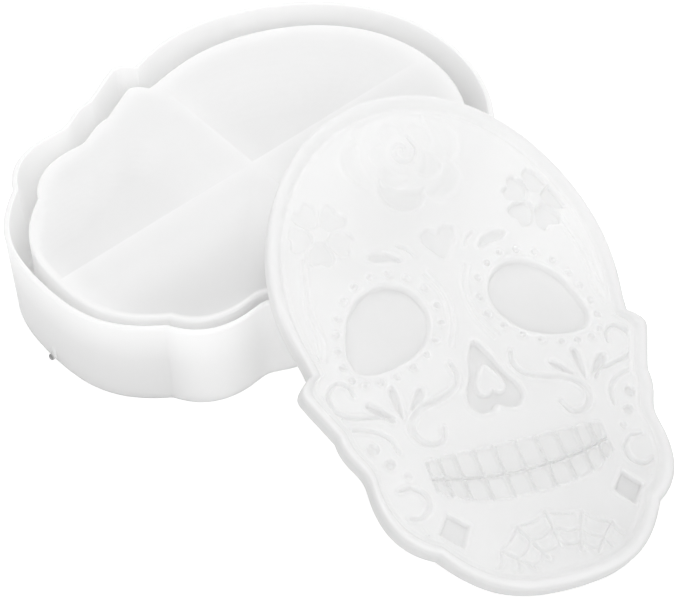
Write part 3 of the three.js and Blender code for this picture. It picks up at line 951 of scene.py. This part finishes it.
def lid_shades(rings, profile, sunk):
    """The lid mould's painted shade, point by point: darker on its outer face, in the relief's recesses and
    towards the chin.
    """
    ring_shades = [0.0] * len(LID_UNDER_RINGS) + [edge_shade(inset) for inset, _ in profile]
    edge = np.repeat(ring_shades, len(rings[0]))
    share = np.clip((LID_LOW_FROM_Y - np.vstack(rings)[:, 1]) / LID_LOW_SPAN, 0, 1)
    low = share * share * (3 - 2 * share)
    edge = edge * (LID_EDGE_AT_CROWN + (1 - LID_EDGE_AT_CROWN) * low[:len(edge)])
    return np.concatenate([edge, sunk * RELIEF_SHADE]) + LID_LOW_SHADE * low


def edge_shade(inset):
    """Painted shade on the outer face of the lid mould's rim."""
    return LID_EDGE_SHADE * min(1.0, max(0.0, (LID_OUTER[0] + LID_EDGE_BAND - inset[0]) / LID_EDGE_FADE))


def lid_matrix():
    """Turns the lid mould from flat to its lean against the box mould's rim."""
    slope, heading, roll = (math.radians(v) for v in (LID_SLOPE, LID_HEADING, LID_ROLL))
    along = (math.cos(heading), math.sin(heading))
    y = Vector((math.cos(slope) * along[0], math.cos(slope) * along[1], math.sin(slope)))
    level = Vector((-math.sin(slope) * along[0], -math.sin(slope) * along[1], math.cos(slope)))
    z = level * math.cos(roll) + y.cross(level) * math.sin(roll)
    x = y.cross(z)
    turn = Matrix((x, y, z)).transposed().to_4x4()
    return Matrix.Translation(Vector(LID_PLACE) * MM) @ turn


class Nodes:
    """A short way to write the node tree of a material or the world, from empty."""

    def __init__(self, owner):
        owner.use_nodes = True
        self.tree = owner.node_tree
        self.tree.nodes.clear()

    def put(self, socket, value):
        """Links a socket to another, or sets its value."""
        if isinstance(value, bpy.types.NodeSocket):
            self.tree.links.new(value, socket)
        else:
            socket.default_value = value

    def add(self, kind, **inputs):
        """A node with its inputs given by name, a space written as an underscore."""
        node = self.tree.nodes.new(kind)
        for name, value in inputs.items():
            self.put(node.inputs[name.replace("_", " ")], value)
        return node

    def math(self, operation, a, b):
        node = self.tree.nodes.new("ShaderNodeMath")
        node.operation = operation
        self.put(node.inputs[0], a)
        self.put(node.inputs[1], b)
        return node.outputs[0]

    def ramp(self, value, span):
        """Rises smoothly from 0 at the span's first value to 1 at its second."""
        node = self.add("ShaderNodeMapRange", Value=value, From_Min=span[0], From_Max=span[1])
        node.interpolation_type = "SMOOTHSTEP"
        return node.outputs["Result"]

    def blend(self, factor, a, b):
        """A colour a share of the way from a to b, or past b where the factor is above 1."""
        node = self.tree.nodes.new("ShaderNodeMix")
        node.data_type = "RGBA"
        node.clamp_factor = False
        for k, value in ((0, factor), (6, a), (7, b)):
            self.put(node.inputs[k], value)
        return node.outputs[2]

    def place(self):
        """Each point's place in the object's own frame."""
        return self.add("ShaderNodeTexCoord").outputs["Object"]

    def noise(self, scale, detail, roughness):
        """Noise from 0 to 1 over the object's own frame."""
        node = self.add("ShaderNodeTexNoise", Vector=self.place(), Scale=scale, Detail=detail, Roughness=roughness)
        return node.outputs["Fac"]

    def attribute(self, name):
        """A number stored at the mesh's points."""
        node = self.tree.nodes.new("ShaderNodeAttribute")
        node.attribute_name = name
        return node.outputs["Fac"]

    def seen(self):
        """1 on the rays of the camera, of reflections and through glass, and 0 on those that light things."""
        path = self.tree.nodes.new("ShaderNodeLightPath")
        direct = self.math("MAXIMUM", path.outputs["Is Camera Ray"], path.outputs["Is Glossy Ray"])
        return self.math("MAXIMUM", direct, path.outputs["Is Transmission Ray"])

    def combine(self, kind, first, a, b):
        """Adds or mixes two shaders, which start at input number first."""
        node = self.tree.nodes.new(kind)
        self.put(node.inputs[first], a.outputs[0])
        self.put(node.inputs[first + 1], b.outputs[0])
        return node

    def end(self, kind, shader):
        """Links a shader to the tree's output."""
        self.put(self.tree.nodes.new(kind).inputs["Surface"], shader.outputs[0])


def silicone(n, colours, painted_shade_factor, radius, transmission):
    """Pale silicone that scatters light, a little cloudy, with a grain and a soft gloss, and painted shade that
    darkens it towards a grey.
    """
    clear, cloudy = ((value, value, value - WARMTH, 1) for value in colours)
    cloud = n.noise(CLOUD_SCALE, 3.0, 0.5)
    grain = n.noise(GRAIN_SCALE, 2.0, 0.6)
    # Painted shade darkens the silicone's colour towards a grey.
    colour = n.blend(painted_shade_factor, n.blend(cloud, clear, cloudy), PAINTED_SHADE_GREY)
    bump = n.add("ShaderNodeBump", Strength=GRAIN_STRENGTH, Distance=GRAIN_HEIGHT, Height=grain)
    gloss = n.math("ADD", n.math("MULTIPLY", cloud, GLOSS_CHANGE), GLOSS)
    surface = n.add("ShaderNodeBsdfPrincipled", Base_Color=colour, Roughness=gloss, IOR=SILICONE_IOR,
                    Normal=bump.outputs["Normal"], Specular_IOR_Level=SPECULAR, Transmission_Weight=transmission,
                    Subsurface_Weight=1.0, Subsurface_Radius=radius, Subsurface_Scale=SCATTER)
    n.end("ShaderNodeOutputMaterial", surface)


def box_silicone():
    """Silicone through which the hollow quarters show a little, darkened there and on the walls by painted shade,
    with less scattering in the thick walls.
    """
    material = bpy.data.materials.new("box_silicone")
    n = Nodes(material)
    path = n.math("SUBTRACT", 1.0, n.math("MULTIPLY", n.attribute("wall"), 1.0 - WALL_PATH))
    radius = n.add("ShaderNodeCombineXYZ", X=path, Y=path, Z=path).outputs[0]
    silicone(n, BOX_COLOURS, box_painted_shade(n), radius, 0.0)
    return material


def box_painted_shade(n):
    """Painted shade: darker where the hollow would show through the core, with painted light bands past the ribs,
    from the ribs and walls behind each place, and the walls' painted shade.
    """
    axes = n.add("ShaderNodeSeparateXYZ", Vector=n.place())
    x = n.math("DIVIDE", axes.outputs["X"], MM)
    y = n.math("DIVIDE", axes.outputs["Y"], MM)
    # Painted light: bands lighter just past each rib, fading across the quarter.
    past_long = n.math("MULTIPLY", n.ramp(x, LONG_BAND_START), n.ramp(x, LONG_BAND_FADE))
    past_cross = n.math("MULTIPLY", n.ramp(y, CROSS_BAND_START), n.ramp(y, CROSS_BAND_FADE))
    light = n.math("MAXIMUM", past_long, past_cross)
    # Painted shade over the hollow quarters, darker towards +x.
    depth = n.math("ADD", HOLLOW_SHADE, n.math("MULTIPLY", n.ramp(x, HOLLOW_SHADE_MORE_X), HOLLOW_SHADE_MORE))
    deep = n.math("MULTIPLY", n.attribute("hollow"), depth)
    hollow = n.math("MULTIPLY", n.math("SUBTRACT", 1.0, light), deep)
    return n.math("MAXIMUM", hollow, n.attribute("shade"))


def lid_silicone():
    """Silicone of the thin lid mould, which lets a little light through."""
    material = bpy.data.materials.new("lid_silicone")
    n = Nodes(material)
    # The lid's painted shade: darker on its rim's outer face, in its recesses and towards its chin.
    silicone(n, LID_COLOURS, n.attribute("shade"), (1.0, 1.0, 1.0), LID_TRANSMISSION)
    return material


def dress(obj, material, body, nodes):
    """Gives a casting its material, its body and the CAD nodes that it stands for."""
    obj.data.materials.clear()
    obj.data.materials.append(material)
    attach(obj, body)
    for node in nodes:
        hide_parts(node)


def floor():
    """A large white worktop that keeps the object's shadow."""
    h = WORKTOP_HALF
    mesh = bpy.data.meshes.new("worktop")
    mesh.from_pydata([(-h, -h, 0), (h, -h, 0), (h, h, 0), (-h, h, 0)], [], [(0, 1, 2, 3)])
    obj = bpy.data.objects.new("worktop", mesh)
    link(obj)
    obj.location.z = -WORKTOP_DROP
    material = bpy.data.materials.new("worktop_white")
    n = Nodes(material)
    paint = n.add("ShaderNodeBsdfDiffuse", Color=WORKTOP_PAINT)
    lift = n.add("ShaderNodeEmission", Color=WHITE, Strength=n.math("MULTIPLY", n.seen(), WORKTOP_LIFT))
    n.end("ShaderNodeOutputMaterial", n.combine("ShaderNodeAddShader", 0, paint, lift))
    mesh.materials.append(material)


def world():
    """An even grey light that is seen as white."""
    studio = bpy.data.worlds.new("studio")
    bpy.context.scene.world = studio
    n = Nodes(studio)
    light = n.add("ShaderNodeBackground", Color=WHITE, Strength=WORLD_LIGHT)
    white = n.add("ShaderNodeBackground", Color=WHITE, Strength=1.0)
    both = n.combine("ShaderNodeMixShader", 1, light, white)
    n.put(both.inputs[0], n.seen())
    n.end("ShaderNodeOutputWorld", both)


def lamp(name, place, aim, size, power):
    """A round lamp turned towards a point."""
    data = bpy.data.lights.new(name, "AREA")
    data.shape = "DISK"
    data.size = size
    data.energy = power
    obj = bpy.data.objects.new(name, data)
    link(obj)
    obj.location = place
    obj.rotation_euler = (Vector(aim) - Vector(place)).to_track_quat("-Z", "Y").to_euler()


def camera():
    """The photo's camera, level from side to side."""
    data = bpy.data.cameras.new("camera")
    data.sensor_fit = "HORIZONTAL"
    data.sensor_width = CAMERA_SENSOR
    data.lens = CAMERA_FOCAL / PHOTO_WIDTH * CAMERA_SENSOR
    data.clip_start = 0.01
    data.clip_end = 20
    obj = bpy.data.objects.new("camera", data)
    link(obj)
    forward = Vector(CAMERA_FORWARD).normalized()
    right = forward.cross(Vector((0, 0, 1))).normalized()
    up = right.cross(forward)
    turn = Matrix((right, up, -forward)).transposed().to_4x4()
    obj.matrix_world = Matrix.Translation(Vector(CAMERA_PLACE)) @ turn
    bpy.context.scene.camera = obj


bpy.context.scene.view_settings.view_transform = "Standard"
bpy.context.scene.cycles.max_bounces = MAX_BOUNCES
bpy.context.scene.cycles.diffuse_bounces = DIFFUSE_BOUNCES
camera()
world()
lamp("key", place=(-0.15, 0.25, 0.65), aim=(0.03, 0, 0), size=0.5, power=1.4)
lamp("fill", place=(1.1, -1.0, 0.7), aim=(0.03, 0, 0.01), size=1.2, power=6)
floor()

box = box_casting()
gate_stub(box)
cut(box, pockets())
dress(box, box_silicone(), "box_mould", [n for n in frame["nodes"] if n.startswith("box_")])

lid = lid_casting()
dress(lid, lid_silicone(), "lid_mould", [n for n in frame["nodes"] if n.startswith("lid_")])
